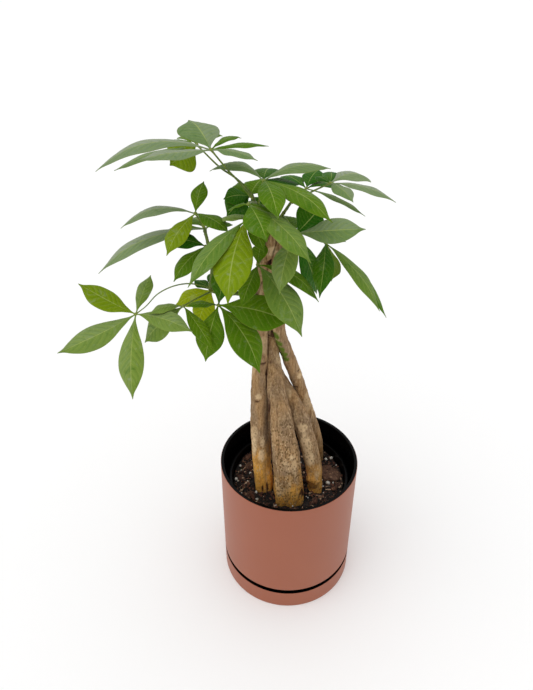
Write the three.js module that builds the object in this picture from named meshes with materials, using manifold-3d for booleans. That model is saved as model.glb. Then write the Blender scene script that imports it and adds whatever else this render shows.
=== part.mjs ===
// Potted money tree: five braided trunks with palmate leaves, in a cylinder pot on its saucer.
// Millimetres, +Z up. The origin is on the pot's axis, at the bottom of the saucer.
import * as THREE from 'three';
import { mergeVertices } from 'three/addons/utils/BufferGeometryUtils.js';
import Module from 'manifold-3d';

const wasm = await Module();
wasm.setup();

// ---------- driving dimensions ----------
const gap = 0.3;
const roundSides = 44;
const growerSides = 32;

const saucerDish = { radius: 75, height: 24, wall: 3.4, floor: 3, edge: 1.2 };
const pot = {
  radius: 75, height: 164, wall: 3.6, floor: 4, lowerEdge: 30, footRadius: 69, drain: 6, edge: 0.8,
};
const grower = {
  rimRadius: 66.5, rimZ: 140, baseRadius: 49, wall: 1.6, floor: 2, bead: 1.4, beadHeight: 4,
  drain: 4, drains: 5, drainRing: 32,
};
const soilTop = { edgeZ: 130, mound: 3, relief: 1.6, rings: 5, sides: 32, chipLift: 0.2 };

// Potting mix: bark chips lying on it, as place, turn, tilt and size.
const chips = [
  { at: [47, 6], turn: 130, tilt: 6, size: [30, 21, 8] },
  { at: [-44, 20], turn: 35, tilt: -8, size: [14, 9, 5] },
  { at: [-44, -25], turn: 80, tilt: 10, size: [13, 8, 5] },
  { at: [42, -38], turn: 20, tilt: -12, size: [14, 8, 5] },
  { at: [8, 46], turn: 60, tilt: 9, size: [16, 9, 5] },
  { at: [-22, -48], turn: 155, tilt: 8, size: [12, 7, 4] },
];

// Trunks below the braid, from the root end up: x, y, z, radius.
const trunkSides = 8;
const trunkStations = 14;
const rootZ = 100;
const trunks = {
  left: [
    [-25, -12, rootZ, 7], [-27, -12, 132, 9.3], [-31, -10, 185, 9.3],
    [-32, -7, 245, 8.8], [-31, -5, 295, 7.6],
  ],
  front: [
    [-1, -25, rootZ, 11], [0, -26, 132, 15], [-4, -25, 182, 15],
    [-9, -20, 225, 12.8], [-17, -8, 285, 8],
  ],
  right: [
    [35, 37, rootZ, 6], [34, 34, 132, 8], [29, 26, 175, 7.6],
    [17, 17, 226, 6.4], [7, 13, 262, 6.6], [-2, 8, 292, 6.4],
  ],
  middle: [
    [30, -15, rootZ, 6], [29, -14, 132, 7.6], [26, -11, 165, 8.6],
    [11, -3, 222, 9.2], [1, 3, 245, 8], [-16, 11, 282, 5],
  ],
  back: [[-22, 36, rootZ, 7], [-22, 34, 132, 9], [-22, 28, 190, 8.5], [-22, 19, 245, 8], [-22, 13, 290, 7]],
};
// The braid above: the trunks wind round one another up a leaning axis.
const braid = {
  foot: [-21, 2, 335],
  head: [-22, 0, 436],
  turn: 200,
  ringRadius: [9, 6.5],
  stemRadius: [6, 4],
  steps: 5,
  startAngle: { left: 208, front: 100, middle: 152, right: 332, back: 40 },
};

// Shoots: routes of x, y, z, radius.
const shootSides = 8;
const shoots = {
  crown_shoot: [
    [[-24, 0, 436, 2.2], [-29, 0, 447, 1.7], [-34, 0, 457, 1.4], [-37, 0, 464, 1.3]],
    [[-20, 0, 434, 2.2], [-15, 1, 441, 1.6], [-9, 3, 449, 1.3], [-4, 5, 456, 1.2]],
  ],
  left_shoot: [
    [[-28, 0, 368, 2.4], [-50, -3, 373, 2.1], [-74, -5, 378, 1.9], [-73, -5, 390, 1.6],
      [-72, -5, 405, 1.5], [-75, -5, 427, 1.4], [-77, -5, 438, 1.3]],
  ],
};

// Palmate leaves. hub: where the leaflets meet. stalk: points from the hub down to the shoot.
// leaflets: tip from the hub (x, y, z), width, arch (rise of the midrib as a share of its length),
// turn of the blade about its midrib in degrees.
const leaves = {
  leaf_a: {
    hub: [-66, -25, 508],
    stalk: [[-54, -16, 489], [-47, -8, 478], [-41, -3, 468], [-36, 0, 461]],
    leaflets: [
      [-20, 42, 12, 33, 0.05, 0], [-84, -15, -9, 20, 0.14, -8], [-45, -45, 9, 18, 0.01, -8],
      [21, 45, -2, 10, 0.06, 0], [43, 20, -1, 13, 0.02, 0], [35, -25, 1, 14, 0.05, 0],
    ],
  },
  leaf_b: {
    hub: [-82, 25, 497],
    stalk: [[-63, 14, 482], [-50, 3, 477], [-42, 4, 469], [-36, 1, 462]],
    leaflets: [
      [-38, 30, -8, 20, 0.06, 0], [-62, -35, -7, 16, 0.02, 0], [-21, -15, -12, 30, 0.08, -50],
      [11, 60, -9, 26, 0.08, 0], [-12, 55, -10, 24, 0.08, 0],
    ],
  },
  leaf_c: {
    hub: [-27, -15, 481],
    stalk: [[-29, -8, 470], [-32, 0, 453]],
    leaflets: [
      [-44, 25, 0, 22, 0.17, 0], [54, 20, 4, 24, 0.1, 0], [7, 45, -6, 24, 0.08, 0],
      [52, -40, -15, 26, 0.08, 0], [11, -53, -8, 20, 0.1, 0], [34, 10, -21, 18, 0.08, 0],
      [30, 12, -7, 20, 0.04, 0],
    ],
  },
  leaf_d: {
    hub: [28, 10, 470],
    stalk: [[12, 8, 463], [-4, 5, 455]],
    leaflets: [
      [38, 25, -6, 31, 0.14, 0], [53, -15, -9, 16, 0.08, 0], [15, -35, -1, 16, 0.06, 0],
      [-12, 12, 2, 12, 0.06, 0], [3, 38, -3, 16, 0.06, 0],
    ],
  },
  leaf_w: {
    hub: [11, 50, 451],
    stalk: [[0, 24, 453], [-8, 4, 450]],
    leaflets: [
      [52, -22, -16, 10, 0.04, 0], [14, 34, 6, 20, 0.06, 0],
      [-22, 38, -1, 22, 0.08, 0], [42, 35, -12, 24, 0.08, 0],
    ],
  },
  leaf_p: {
    hub: [-39, 25, 453],
    stalk: [[-36, 12, 455], [-31, 1, 451]],
    leaflets: [
      [-22, -10, 2, 20, 0.08, -30], [-20, -12, -13, 26, 0.08, -30],
      [11, 18, 10, 26, 0.05, 0], [-11, 16, 7, 24, 0.08, 0], [17, -9, -13, 24, 0.08, 20],
    ],
  },
  leaf_q: {
    hub: [-38, -46, 474],
    stalk: [[-38, -26, 468], [-34, 0, 457]],
    leaflets: [
      [14, -29, -16, 24, 0.1, 0], [46, -36, -30, 26, 0.06, 0],
      [22, 6, -11, 14, 0.08, 0], [-16, 10, -9, 12, 0.08, 0],
    ],
  },
  leaf_e: {
    hub: [-40, -38, 458],
    stalk: [[-38, -22, 455], [-30, 0, 448]],
    leaflets: [
      [-43, -50, -30, 20, 0.06, 0], [-13, -60, -39, 30, 0.08, 0],
      [14, -16, -19, 14, 0.08, 0], [-20, 18, -5, 18, 0.06, 0],
    ],
  },
  leaf_f: {
    hub: [-1, -25, 441],
    stalk: [[-8, -12, 443], [-15, 1, 441]],
    leaflets: [
      [19, 2, 22, 27, 0.06, 60], [21, 0, 10, 16, 0.06, 50], [51, -25, 15, 21, 0.02, 50],
      [23, 16, -66, 22, 0.04, 80], [-14, -50, -27, 20, 0.08, 0], [-17, 15, -9, 18, 0.08, 0],
      [-10, 35, 2, 20, 0.06, 0],
    ],
  },
  leaf_g: {
    hub: [26, 0, 421],
    stalk: [[8, 0, 430], [-18, 0, 437]],
    leaflets: [
      [48, -35, -45, 18, 0.08, 0], [57, -25, -58, 18, 0.06, 0], [9, 10, -42, 24, 0.08, 0],
      [15, 28, -9, 22, 0.08, 0], [-8, -53, -22, 18, 0.1, 0],
    ],
  },
  leaf_h: {
    hub: [-32, -25, 413],
    stalk: [[-28, -14, 414], [-22, 0, 418]],
    leaflets: [
      [36, -50, -38, 30, 0.1, 0], [-13, -37, -17, 17, 0.08, 0],
      [51, -20, -23, 20, 0.14, 0], [4, 20, 12, 14, 0.06, 0],
    ],
  },
  leaf_i: {
    hub: [-66, -30, 377],
    stalk: [[-66, -18, 374], [-65, -4, 376]],
    leaflets: [
      [63, -12, -10, 34, 0.06, 30], [37, -43, -39, 30, 0.08, 0], [-11, -30, -38, 26, 0.08, 0],
      [-26, -10, 6, 12, 0.06, 0], [6, 25, 29, 22, 0.06, 0],
    ],
  },
  leaf_j: {
    hub: [-96, -30, 376],
    stalk: [[-90, -22, 376], [-72, -5, 377.5]],
    leaflets: [[27, -36, -20, 15, 0.08, 0], [-29, -10, -1, 14, 0.08, 0], [-39, 0, -38, 24, 0.06, -45]],
  },
  leaf_u: {
    hub: [-74, 5, 372],
    stalk: [[-74, 0, 375], [-74, -5, 378]],
    leaflets: [
      [-34, -10, -9, 20, 0.08, -20], [-13, -20, -25, 24, 0.08, 0],
      [7, 30, 6, 20, 0.06, 0], [-18, 12, 4, 14, 0.06, 0],
    ],
  },
  leaf_k: {
    hub: [-138, -30, 368],
    stalk: [[-129, -27, 374], [-119, -22, 383], [-106, -17, 388], [-92, -12, 388], [-75, -5, 380]],
    leaflets: [
      [-48, 10, 25, 22, -0.04, -20], [8, 42, 17, 14, 0.06, 0], [-64, -30, -19, 24, -0.03, -25],
      [-1, -50, -54, 22, 0.06, 0], [52, -32, 4, 18, 0.04, 30],
    ],
  },
  leaf_l: {
    hub: [-82, -15, 454],
    stalk: [[-80, -10, 447], [-77, -5, 438]],
    leaflets: [
      [6, 20, 20, 14, 0.06, 0], [-61, -5, -9, 20, 0.14, 0],
      [-21, -35, -19, 20, 0.06, 0], [28, -20, -6, 20, 0.08, 0],
    ],
  },
  leaf_m: {
    hub: [-77, 5, 432],
    stalk: [[-76, 0, 432], [-76, -5, 431]],
    leaflets: [
      [-93, -20, -30, 18, 0.13, -15], [-51, 20, -18, 22, 0.08, 0],
      [-20, 45, -10, 24, 0.08, 0], [22, 30, -8, 20, 0.08, 0],
    ],
  },
  leaf_o: {
    hub: [-77, 0, 418],
    stalk: [[-76, -2, 418], [-74, -5, 419]],
    leaflets: [[-27, -25, -20, 22, 0.1, 0], [26, -20, -5, 20, 0.08, 0], [-33, 5, 4, 20, 0.08, -15]],
  },
};

// Leaflet blade: half-width as a share of the greatest, along the midrib.
const bladeShape = [[0, 0.07], [0.18, 0.3], [0.4, 0.84], [0.62, 1], [0.83, 0.55], [1, 0.04]];
const blade = { thickness: 0.8, droop: 0.14, rootInHub: 1.2, leastHalf: 0.7 };
const hubRadius = 2.2;
const stalkRadius = [0.9, 1.2];
const stalkSides = 6;

// ---------- solids ----------
const toRadians = Math.PI / 180;

function solidOf(geometry) {
  const bare = geometry.clone();
  bare.deleteAttribute('normal');
  bare.deleteAttribute('uv');
  const merged = mergeVertices(bare, 1e-4);
  return new wasm.Manifold(new wasm.Mesh({
    numProp: 3,
    vertProperties: new Float32Array(merged.attributes.position.array),
    triVerts: new Uint32Array(merged.index.array),
  }));
}

function geometryOf(solid) {
  const mesh = solid.getMesh();
  const geometry = new THREE.BufferGeometry();
  geometry.setAttribute('position', new THREE.BufferAttribute(new Float32Array(mesh.vertProperties), 3));
  geometry.setIndex(new THREE.BufferAttribute(new Uint32Array(mesh.triVerts), 1));
  const flat = geometry.toNonIndexed();
  flat.computeVertexNormals();
  return flat;
}

// Skin over a row of closed sections of equal count, with a fan at each end. Strips named in
// mirrored are split along their other diagonal.
function loft(sections, mirrored = []) {
  const count = sections[0].length;
  const points = sections.flat();
  const first = new THREE.Vector3();
  const last = new THREE.Vector3();
  sections[0].forEach((p) => first.add(p));
  sections[sections.length - 1].forEach((p) => last.add(p));
  points.push(first.divideScalar(count), last.divideScalar(count));
  const index = [];
  const lastRow = (sections.length - 1) * count;
  for (let j = 0; j < count; j++) {
    const next = (j + 1) % count;
    for (let i = 0; i + 1 < sections.length; i++) {
      const a = i * count;
      const b = a + count;
      if (mirrored.includes(j)) index.push(a + j, a + next, b + j, a + next, b + next, b + j);
      else index.push(a + j, a + next, b + next, a + j, b + next, b + j);
    }
    index.push(points.length - 2, next, j);
    index.push(points.length - 1, lastRow + j, lastRow + next);
  }
  const geometry = new THREE.BufferGeometry().setFromPoints(points);
  geometry.setIndex(index);
  return geometry;
}

// Tube along points of x, y, z, radius. Its section keeps its turn from one station to the next.
function tube(route, sides, stations, extra = 0) {
  const knots = route.map(([x, y, z]) => new THREE.Vector3(x, y, z));
  const curve = new THREE.CatmullRomCurve3(knots, false, 'centripetal');
  const sizes = route.map((p, i) => new THREE.Vector3(p[3], i, 0));
  const radii = new THREE.CatmullRomCurve3(sizes, false, 'catmullrom');
  const side = new THREE.Vector3(1, 0, 0);
  const sections = [];
  for (let i = 0; i <= stations; i++) {
    const t = i / stations;
    const centre = curve.getPoint(t);
    const along = curve.getTangent(t);
    side.addScaledVector(along, -side.dot(along)).normalize();
    const across = new THREE.Vector3().crossVectors(along, side);
    const radius = radii.getPoint(t).x + extra;
    const ring = [];
    for (let j = 0; j < sides; j++) {
      const angle = (j / sides) * 2 * Math.PI;
      ring.push(centre.clone()
        .addScaledVector(side, radius * Math.cos(angle))
        .addScaledVector(across, radius * Math.sin(angle)));
    }
    if (extra > 0 && i === 0) ring.forEach((p) => p.addScaledVector(along, -extra));
    if (extra > 0 && i === stations) ring.forEach((p) => p.addScaledVector(along, extra));
    sections.push(ring);
  }
  return solidOf(loft(sections));
}

function lathe(profile, sides = roundSides) {
  const outline = profile.map(([radius, z]) => new THREE.Vector2(radius, z));
  return solidOf(new THREE.LatheGeometry(outline, sides).rotateX(Math.PI / 2));
}

// The largest body of a solid, without loose scraps.
function mainBody(solid) {
  return solid.decompose().sort((a, b) => b.volume() - a.volume())[0];
}

// ---------- pot, saucer, grower's pot ----------
function makeSaucer() {
  const s = saucerDish;
  return lathe([
    [0, 0], [s.radius - s.edge, 0], [s.radius, s.edge], [s.radius, s.height - s.edge / 2],
    [s.radius - s.edge / 2, s.height], [s.radius - s.wall + s.edge / 2, s.height],
    [s.radius - s.wall, s.height - s.edge / 2], [s.radius - s.wall, s.floor], [0, s.floor],
  ]);
}

const footZ = saucerDish.floor + gap;
const potFloorZ = footZ + pot.floor;

function makePlanter() {
  const inner = pot.radius - pot.wall;
  return lathe([
    [pot.drain, footZ], [pot.footRadius, footZ], [pot.footRadius, pot.lowerEdge],
    [pot.radius - pot.edge, pot.lowerEdge], [pot.radius, pot.lowerEdge + pot.edge],
    [pot.radius, pot.height - pot.edge], [pot.radius - pot.edge, pot.height],
    [inner + pot.edge, pot.height], [inner, pot.height - pot.edge],
    [inner, pot.lowerEdge + pot.wall], [pot.footRadius - pot.wall, pot.lowerEdge - pot.wall],
    [pot.footRadius - pot.wall, potFloorZ], [pot.drain, potFloorZ], [pot.drain, footZ],
  ]);
}

const growerBaseZ = potFloorZ + gap;
const growerSlope = (grower.rimRadius - grower.bead - grower.baseRadius) / (grower.rimZ - growerBaseZ);
const growerOuterAt = (z) => grower.baseRadius + growerSlope * (z - growerBaseZ);

function makeGrowerPot() {
  const beadZ = grower.rimZ - grower.beadHeight;
  const innerFloorZ = growerBaseZ + grower.floor;
  const shell = lathe([
    [grower.drain, growerBaseZ], [grower.baseRadius, growerBaseZ], [growerOuterAt(beadZ), beadZ],
    [grower.rimRadius, beadZ + grower.bead], [grower.rimRadius, grower.rimZ],
    [growerOuterAt(grower.rimZ) - grower.wall, grower.rimZ],
    [growerOuterAt(innerFloorZ) - grower.wall, innerFloorZ],
    [grower.drain, innerFloorZ], [grower.drain, growerBaseZ],
  ], growerSides);
  let pierced = shell;
  for (let i = 0; i < grower.drains; i++) {
    const angle = (i / grower.drains) * 2 * Math.PI;
    const hole = new THREE.CylinderGeometry(grower.drain, grower.drain, grower.floor * 4, 8);
    hole.rotateX(Math.PI / 2);
    hole.translate(grower.drainRing * Math.cos(angle), grower.drainRing * Math.sin(angle), growerBaseZ);
    pierced = pierced.subtract(solidOf(hole));
  }
  return pierced;
}

// ---------- trunks ----------
function trunkRoute(name) {
  const route = trunks[name].map((p) => [...p]);
  for (let i = 0; i <= braid.steps; i++) {
    const t = i / braid.steps;
    const mix = (ends) => ends[0] + (ends[1] - ends[0]) * t;
    const angle = (braid.startAngle[name] + braid.turn * t) * toRadians;
    const ring = mix(braid.ringRadius);
    route.push([
      mix([braid.foot[0], braid.head[0]]) + ring * Math.cos(angle),
      mix([braid.foot[1], braid.head[1]]) + ring * Math.sin(angle),
      mix([braid.foot[2], braid.head[2]]),
      mix(braid.stemRadius),
    ]);
  }
  return route;
}

const trunkOrder = ['left', 'front', 'right', 'middle', 'back'];

function makeTrunks() {
  const made = {};
  const keepClear = [];
  for (const name of trunkOrder) {
    const route = trunkRoute(name);
    let stem = tube(route, trunkSides, trunkStations);
    for (const other of keepClear) stem = stem.subtract(other);
    made[name] = mainBody(stem);
    keepClear.push(tube(route, trunkSides, trunkStations, gap));
  }
  return { made, keepClear };
}

// ---------- potting mix ----------
// Small smooth relief: three crossed waves, so it needs no random draw.
function relief(x, y) {
  return Math.sin(0.31 * x + 1.1) * Math.cos(0.27 * y)
    + 0.7 * Math.sin(0.53 * y - 0.42 * x)
    + 0.4 * Math.cos(0.83 * x + 0.71 * y + 2);
}

function soilZ(x, y) {
  const share = Math.min(1, Math.hypot(x, y) / grower.baseRadius);
  return soilTop.edgeZ + soilTop.mound * (1 - share * share) + (soilTop.relief / 2) * relief(x, y);
}

function makeSoil(holes) {
  const bottomZ = growerBaseZ + grower.floor + gap;
  const sideAt = (z) => growerOuterAt(z) - grower.wall - 2 * gap;
  const sections = [];
  const ring = (radius, zOf) => {
    const points = [];
    for (let j = 0; j < soilTop.sides; j++) {
      const angle = (j / soilTop.sides) * 2 * Math.PI;
      const x = radius * Math.cos(angle);
      const y = radius * Math.sin(angle);
      points.push(new THREE.Vector3(x, y, zOf(x, y)));
    }
    return points;
  };
  sections.push(ring(sideAt(bottomZ), () => bottomZ));
  const topRadius = sideAt(soilTop.edgeZ - soilTop.relief);
  for (let i = 0; i < soilTop.rings; i++) {
    sections.push(ring(topRadius * (1 - i / soilTop.rings), soilZ));
  }
  let mix = solidOf(loft(sections));
  for (const chip of chips) {
    const shape = new THREE.IcosahedronGeometry(0.5, 0).scale(...chip.size);
    shape.rotateY(chip.tilt * toRadians).rotateZ(chip.turn * toRadians);
    const [x, y] = chip.at;
    shape.translate(x, y, soilZ(x, y) + chip.size[2] * soilTop.chipLift);
    mix = mix.add(solidOf(shape));
  }
  for (const hole of holes) mix = mix.subtract(hole);
  return mainBody(mix);
}

// ---------- shoots and leaves ----------
function makeShoot(routes, keepClear) {
  let shoot = null;
  for (const route of routes) {
    const branch = tube(route, shootSides, route.length * 2);
    shoot = shoot ? shoot.add(branch) : branch;
  }
  for (const other of keepClear) shoot = shoot.subtract(other);
  return mainBody(shoot);
}

function shootClearance(routes) {
  return routes.map((route) => tube(route, shootSides, route.length * 2, gap));
}

// The two strips of a blade's upper face, split as the strips under them are.
const upperStrips = [4, 5];

// One leaflet: a blade along an arched midrib, its edges lower than the rib, sections of six points.
function makeLeaflet(hub, [x, y, z, width, arch, turn]) {
  const chord = new THREE.Vector3(x, y, z);
  const length = chord.length();
  const along = chord.clone().normalize();
  const side = new THREE.Vector3(along.y, -along.x, 0).normalize().applyAxisAngle(along, turn * toRadians);
  const up = new THREE.Vector3().crossVectors(side, along);
  const sections = bladeShape.map(([station, share]) => {
    const t = Math.max(station, blade.rootInHub / length);
    const half = Math.max(blade.leastHalf, (width / 2) * share);
    const rise = 4 * arch * length * t * (1 - t);
    const slope = 4 * arch * (1 - 2 * t);
    const normal = up.clone().addScaledVector(along, -slope).normalize();
    const mid = hub.clone().addScaledVector(chord, t).addScaledVector(up, rise);
    const edge = -half * blade.droop;
    const point = (sideways, upward) => mid.clone()
      .addScaledVector(side, sideways)
      .addScaledVector(normal, upward);
    const skin = blade.thickness / 2;
    return [
      point(half, edge + skin), point(half, edge - skin), point(0, -skin),
      point(-half, edge - skin), point(-half, edge + skin), point(0, skin),
    ];
  });
  return solidOf(loft(sections, upperStrips));
}

function makeLeaf(leaf, keepClear) {
  const hub = new THREE.Vector3(...leaf.hub);
  const joints = [leaf.hub, ...leaf.stalk];
  const route = joints.map((p, i) => {
    const t = i / (joints.length - 1);
    return [...p, stalkRadius[0] + (stalkRadius[1] - stalkRadius[0]) * t];
  });
  let solid = tube(route, stalkSides, leaf.stalk.length * 3);
  solid = solid.add(solidOf(new THREE.IcosahedronGeometry(hubRadius, 0).translate(...leaf.hub)));
  for (const leaflet of leaf.leaflets) solid = solid.add(makeLeaflet(hub, leaflet));
  for (const other of keepClear) solid = solid.subtract(other);
  return mainBody(solid);
}

// ---------- scene graph ----------
const finish = {
  terracotta: new THREE.MeshStandardMaterial({ color: 0xa3634e, roughness: 0.55, metalness: 0 }),
  black: new THREE.MeshStandardMaterial({ color: 0x141414, roughness: 0.5, metalness: 0 }),
  soil: new THREE.MeshStandardMaterial({ color: 0x2c211b, roughness: 0.95, metalness: 0 }),
  bark: new THREE.MeshStandardMaterial({ color: 0x94795f, roughness: 0.85, metalness: 0 }),
  shoot: new THREE.MeshStandardMaterial({ color: 0x6d8a3a, roughness: 0.6, metalness: 0 }),
  leaf: new THREE.MeshStandardMaterial({ color: 0x4f7d1c, roughness: 0.45, metalness: 0 }),
};

const group = new THREE.Group();

function place(name, solid, material) {
  const mesh = new THREE.Mesh(geometryOf(solid), material);
  mesh.name = name;
  group.add(mesh);
}

place('saucer', makeSaucer(), finish.terracotta);
place('planter', makePlanter(), finish.terracotta);
place('nursery_pot', makeGrowerPot(), finish.black);

const braided = makeTrunks();
place('potting_soil', makeSoil(braided.keepClear), finish.soil);
for (const name of trunkOrder) place(`trunk_${name}`, braided.made[name], finish.bark);

const stemsKeptClear = [...braided.keepClear];
for (const [name, routes] of Object.entries(shoots)) {
  place(name, makeShoot(routes, braided.keepClear), finish.shoot);
  stemsKeptClear.push(...shootClearance(routes));
}
for (const [name, leaf] of Object.entries(leaves)) place(name, makeLeaf(leaf, stemsKeptClear), finish.leaf);

export default group;
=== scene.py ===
# Potted money tree: braided trunks, palmate leaves, potting mix, grower's pot, planter and saucer.
import math
import random

import bpy
import numpy as np
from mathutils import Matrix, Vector, noise


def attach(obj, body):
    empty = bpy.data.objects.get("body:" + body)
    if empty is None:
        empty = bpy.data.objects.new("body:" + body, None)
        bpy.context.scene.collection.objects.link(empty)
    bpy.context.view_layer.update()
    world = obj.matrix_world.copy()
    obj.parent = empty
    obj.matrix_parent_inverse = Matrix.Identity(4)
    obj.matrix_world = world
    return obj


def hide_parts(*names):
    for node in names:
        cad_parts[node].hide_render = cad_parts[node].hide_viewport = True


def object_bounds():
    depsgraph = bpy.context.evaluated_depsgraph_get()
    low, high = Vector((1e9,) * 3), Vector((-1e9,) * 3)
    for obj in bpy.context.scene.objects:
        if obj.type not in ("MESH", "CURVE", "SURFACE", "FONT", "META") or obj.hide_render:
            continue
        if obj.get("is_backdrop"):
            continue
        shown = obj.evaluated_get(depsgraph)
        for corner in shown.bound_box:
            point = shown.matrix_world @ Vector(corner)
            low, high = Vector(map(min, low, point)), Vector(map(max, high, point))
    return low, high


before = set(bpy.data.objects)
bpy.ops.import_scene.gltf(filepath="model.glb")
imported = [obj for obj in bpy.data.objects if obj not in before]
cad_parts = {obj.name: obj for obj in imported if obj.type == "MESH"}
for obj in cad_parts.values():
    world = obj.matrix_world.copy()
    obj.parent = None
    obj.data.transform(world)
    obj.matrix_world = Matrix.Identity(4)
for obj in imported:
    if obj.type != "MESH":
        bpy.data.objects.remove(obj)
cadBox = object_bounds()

mm = 0.001


def rgb(red, green, blue):  # a screen colour, 0 to 255, as the linear one that sockets take
    def linear(level):
        share = level / 255
        return share / 12.92 if share <= 0.04045 else ((share + 0.055) / 1.055) ** 2.4
    return (linear(red), linear(green), linear(blue), 1.0)


def maths(operation, reflected=False):  # an operator that adds a Math node
    def run(wire, other=0.0):
        first, second = (other, wire) if reflected else (wire, other)
        return wire.paint.add("Math", {"operation": operation}, {0: first, 1: second})
    return run


class Wire:  # one socket's value, with the sums that Math nodes can do
    def __init__(self, paint, socket):
        self.paint, self.socket = paint, socket

    __add__ = __radd__ = maths("ADD")
    __sub__, __rsub__ = maths("SUBTRACT"), maths("SUBTRACT", reflected=True)
    __mul__ = __rmul__ = maths("MULTIPLY")
    __abs__ = maths("ABSOLUTE")
    fraction = maths("FRACT")

    def between(self, low, high):  # 0 at low, 1 at high, smooth between; low may be the greater
        ends = {"Value": self, "From Min": min(low, high), "From Max": max(low, high)}
        if low > high:
            ends.update({"To Min": 1.0, "To Max": 0.0})
        return self.paint.add("MapRange", {"interpolation_type": "SMOOTHSTEP"}, ends)

    def out(self, name):  # another output of the same node
        return Wire(self.paint, self.socket.node.outputs[name])


class Paint:  # one material and its nodes
    def __init__(self, name, **constants):
        self.material = bpy.data.materials.new(name)
        self.material.use_nodes = True
        self.tree = self.material.node_tree
        self.shader = self.tree.nodes["Principled BSDF"]
        self.fill(self.shader, {socket.replace("_", " "): value for socket, value in constants.items()})
        self.place = self.add("TexCoord").out("Object")  # the piece's own coordinates, in metres

    def fill(self, node, sockets):
        for name, value in sockets.items():
            if isinstance(value, Wire):
                self.tree.links.new(value.socket, node.inputs[name])
            else:
                node.inputs[name].default_value = value

    def add(self, kind, settings=None, sockets=None, output=0):  # any node: settings first, then sockets
        node = self.tree.nodes.new("ShaderNode" + kind)
        for name, value in (settings or {}).items():
            setattr(node, name, value)
        self.fill(node, sockets or {})
        return Wire(self, node.outputs[output])

    def marks(self, name):  # three numbers painted on the mesh
        settings = {"attribute_type": "GEOMETRY", "attribute_name": name}
        first = self.add("SeparateXYZ", None, {0: self.add("Attribute", settings).out("Vector")})
        return first, first.out("Y"), first.out("Z")

    # Where a texture is read. A pair of scales, across and along, is for what runs up a stem.
    def reading(self, scale):
        if not isinstance(scale, tuple):
            return {"Vector": self.place, "Scale": scale}
        across, along = scale
        stretch = {0: self.place, 1: (across, across, along)}
        return {"Vector": self.add("VectorMath", {"operation": "MULTIPLY"}, stretch), "Scale": 1.0}

    def grain(self, scale, detail=3.0, roughness=0.55, distortion=0.0):
        form = {"Detail": detail, "Roughness": roughness, "Distortion": distortion}
        return self.add("TexNoise", None, {**self.reading(scale), **form})

    def cells(self, scale, feature="F1"):
        return self.add("TexVoronoi", {"feature": feature}, self.reading(scale))

    def mix(self, share, first, second):  # two colours
        return self.add("Mix", {"data_type": "RGBA"}, {0: share, 6: first, 7: second}, 2)

    def coats(self, tone, *layers):  # each layer, a share and a colour, goes over those before it
        for share, colour in layers:
            tone = self.mix(share, tone, colour)
        return tone

    def finish(self, colour, roughness, height=None, strength=0.3, distance=0.0005, paintedGlow=None):
        varied = {"Base Color": colour, "Roughness": roughness}
        if paintedGlow is not None:
            varied["Emission Color"] = paintedGlow
        if height is not None:
            form = {"Strength": strength, "Distance": distance, "Height": height}
            varied["Normal"] = self.add("Bump", None, form)
        self.fill(self.shader, varied)
        return self.material


def addObject(name, data):
    made = bpy.data.objects.new(name, data)
    bpy.context.scene.collection.objects.link(made)
    return made


def unit(vectors):
    return vectors / np.maximum(np.linalg.norm(vectors, axis=-1, keepdims=True), 1e-9)


def ringAngles(count):
    return np.arange(count) / count * 2 * math.pi


# Quads between closed rings of points, joined end to start, or with a fan of triangles at each end
# from the two points that come after the rings.
def ringFaces(length, around, joined=False):
    i, j = np.meshgrid(np.arange(length if joined else length - 1), np.arange(around), indexing="ij")
    below, beside = (i + 1) % length * around, (j + 1) % around
    quads = np.stack([i * around + j, i * around + beside, below + beside, below + j], -1)
    faces = quads.reshape(-1, 4).tolist()
    if not joined:
        first, end = length * around, (length - 1) * around
        for k in range(around):
            following = (k + 1) % around
            faces += [[first, following, k], [first + 1, end + k, end + following]]
    return faces


class Skin:  # points, faces and painted numbers, gathered before they become one mesh
    def __init__(self, *markNames):
        self.count = 0
        self.points = []
        self.faces = []
        self.finishes = []
        self.marks = {name: [] for name in markNames}

    # Skin over rows of closed sections. It is capped at both ends, or joined end to start.
    def loft(self, rows, finish=0, joined=False, **marks):
        length, around = rows.shape[:2]
        def listed(values):  # ring by ring, and then the middle of each cap
            values = np.broadcast_to(np.asarray(values, float), rows.shape)
            caps = [] if joined else [values[0].mean(0), values[-1].mean(0)]
            return np.vstack([values.reshape(-1, 3), *caps])
        finishes = np.broadcast_to(finish, (length if joined else length - 1, around)).reshape(-1).tolist()
        if not joined:
            finishes += [finishes[0]] * around * 2
        self.take(listed(rows), ringFaces(length, around, joined), finishes)
        for name, values in marks.items():
            self.marks[name].append(listed(values))

    def take(self, points, faces, finishes):  # a closed body, turned so that its faces point out
        triangles = np.array([[face[0], *pair] for face in faces for pair in zip(face[1:], face[2:])])
        a, b, c = (points[triangles[:, k]] for k in range(3))
        if (a * np.cross(b, c)).sum() < 0:
            faces = [face[::-1] for face in faces]
        self.faces += [[self.count + corner for corner in face] for face in faces]
        self.points.append(points)
        self.finishes += finishes
        self.count += len(points)

    def body(self, points, faces, **marks):  # one loose body, such as a grain
        self.take(points, faces, [0] * len(faces))
        for name, value in marks.items():
            self.marks[name].append(np.tile(np.asarray(value, float), (len(points), 1)))

    def piece(self, name, slot, finishes, *nodes, smooth=True):  # the object, riding on the one body
        mesh = bpy.data.meshes.new(name)
        mesh.from_pydata(np.vstack(self.points).tolist(), [], self.faces)
        for markName, values in self.marks.items():
            layer = mesh.attributes.new(markName, "FLOAT_VECTOR", "POINT")
            layer.data.foreach_set("vector", np.vstack(values).astype(np.float32).ravel())
        for finish in finishes:
            mesh.materials.append(finish)
        mesh.polygons.foreach_set("material_index", self.finishes)
        mesh.polygons.foreach_set("use_smooth", [smooth] * len(self.faces))
        mesh.update()
        made = addObject(name, mesh)
        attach(made, "root")
        if nodes:
            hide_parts(*nodes)


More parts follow.
